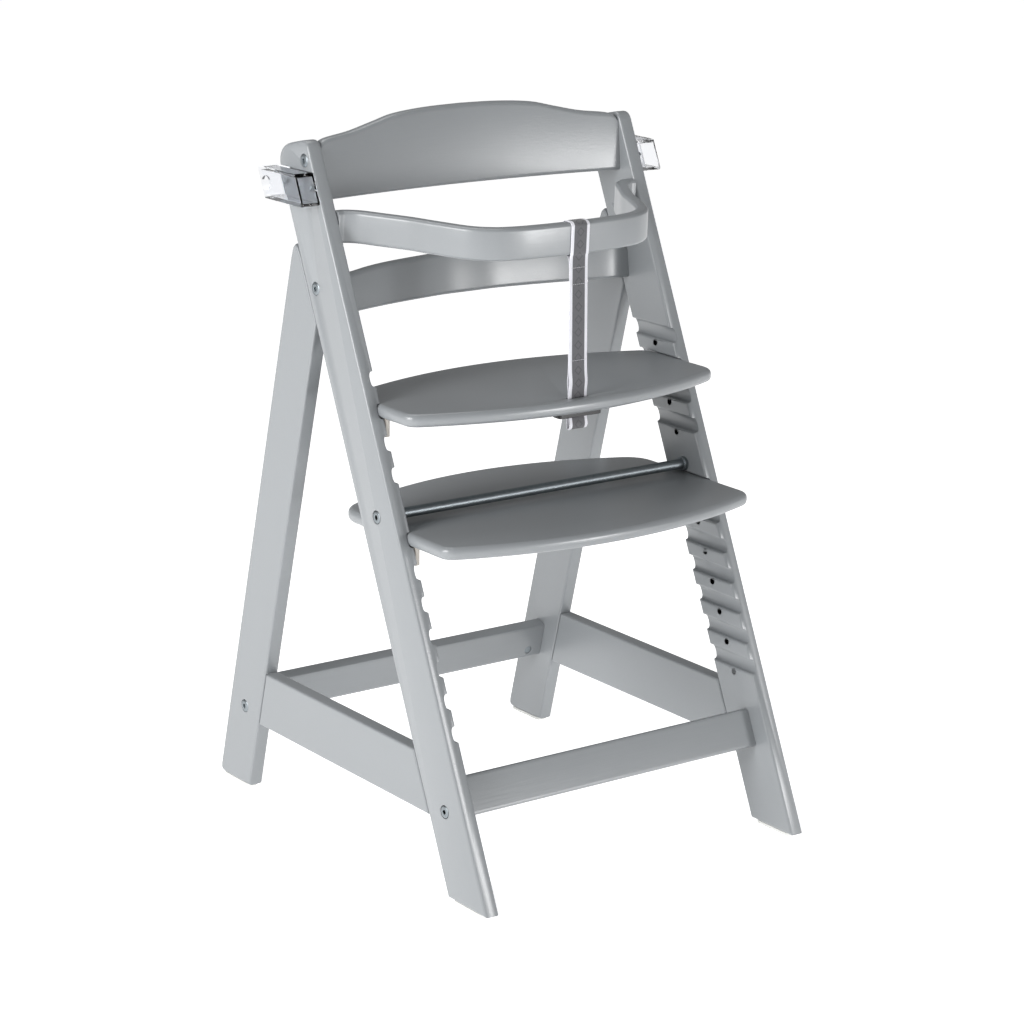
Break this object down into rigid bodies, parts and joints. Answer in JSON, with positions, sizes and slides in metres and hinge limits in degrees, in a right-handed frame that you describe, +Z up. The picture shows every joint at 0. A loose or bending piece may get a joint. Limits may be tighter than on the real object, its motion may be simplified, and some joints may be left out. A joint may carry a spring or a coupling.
{
  "type": "baby high chair",
  "caption": "Wooden baby high chair: leaning grooved rails on rear legs, sliding seat and foot boards, bent guard bar, slatted back, tray sockets and a crotch strap.",
  "frame": {"origin": "on the floor, under the middle of the footprint of the four feet", "axes": "+Z up; the front of the chair, with the guard bar, faces -Y; +X is to the right when looking along +Y"},
  "size_m": [0.5, 0.5591, 0.8215],
  "materials": {
    "paint": "smooth light cool-grey lacquer over beech, satin",
    "zinc_steel": "bright zinc plate",
    "beech": "raw turned beech",
    "glide_plastic": "off-white moulded plastic",
    "clear_plastic": "clear, slightly frosted moulded plastic",
    "lock_plastic": "warm grey moulded plastic",
    "anchor_plastic": "black moulded plastic",
    "webbing": "woven polyester webbing, dark grey with white edges"
  },
  "bodies": {
    "frame": {"rail_left": "paint", "rail_right": "paint", "leg_left": "paint", "leg_right": "paint", "stretcher_left": "paint", "stretcher_right": "paint", "front_crossbar": "paint", "rear_crossbar": "paint", "upper_backrest": "paint", "lower_backrest": "paint", "guard_bar": "paint", "tie_rod": "zinc_steel", "upper_back_bolt_left": "zinc_steel", "upper_back_bolt_right": "zinc_steel", "lower_back_bolt_left": "zinc_steel", "lower_back_bolt_right": "zinc_steel", "front_crossbar_bolt_left": "zinc_steel", "front_crossbar_bolt_right": "zinc_steel", "rear_crossbar_bolt_left": "zinc_steel", "rear_crossbar_bolt_right": "zinc_steel", "tie_rod_bolt_left": "zinc_steel", "tie_rod_bolt_right": "zinc_steel", "upper_back_nut_left": "zinc_steel", "upper_back_nut_right": "zinc_steel", "lower_back_nut_left": "zinc_steel", "lower_back_nut_right": "zinc_steel", "front_crossbar_nut_left": "zinc_steel", "front_crossbar_nut_right": "zinc_steel", "rear_crossbar_nut_left": "zinc_steel", "rear_crossbar_nut_right": "zinc_steel", "guard_bar_dowel_left": "beech", "guard_bar_dowel_right": "beech", "leg_dowel_left": "beech", "leg_dowel_right": "beech", "front_glide_left": "glide_plastic", "front_glide_right": "glide_plastic", "rear_glide_left": "glide_plastic", "rear_glide_right": "glide_plastic", "seat_peg_left": "zinc_steel", "seat_peg_right": "zinc_steel", "foot_peg_left": "zinc_steel", "foot_peg_right": "zinc_steel", "tray_socket_left": "clear_plastic", "tray_socket_right": "clear_plastic", "socket_screw_front_left": "zinc_steel", "socket_screw_front_right": "zinc_steel", "socket_screw_rear_left": "zinc_steel", "socket_screw_rear_right": "zinc_steel"},
    "seat": {"seat_board": "paint", "seat_lock_left": "lock_plastic", "seat_lock_right": "lock_plastic", "seat_lock_screw_left": "zinc_steel", "seat_lock_screw_right": "zinc_steel", "strap_anchor": "anchor_plastic", "strap": "webbing"},
    "foot": {"foot_board": "paint", "foot_lock_left": "lock_plastic", "foot_lock_right": "lock_plastic", "foot_lock_screw_left": "zinc_steel", "foot_lock_screw_right": "zinc_steel"}
  },
  "joints": [
    {"name": "seat_slide", "type": "slide", "parent": "frame", "child": "seat", "axis": [0, 1, 0], "range_m": [-0.02, 0.02], "deforming": ["strap"]},
    {"name": "foot_slide", "type": "slide", "parent": "frame", "child": "foot", "axis": [0, 1, 0], "range_m": [-0.02, 0.02]}
  ]
}
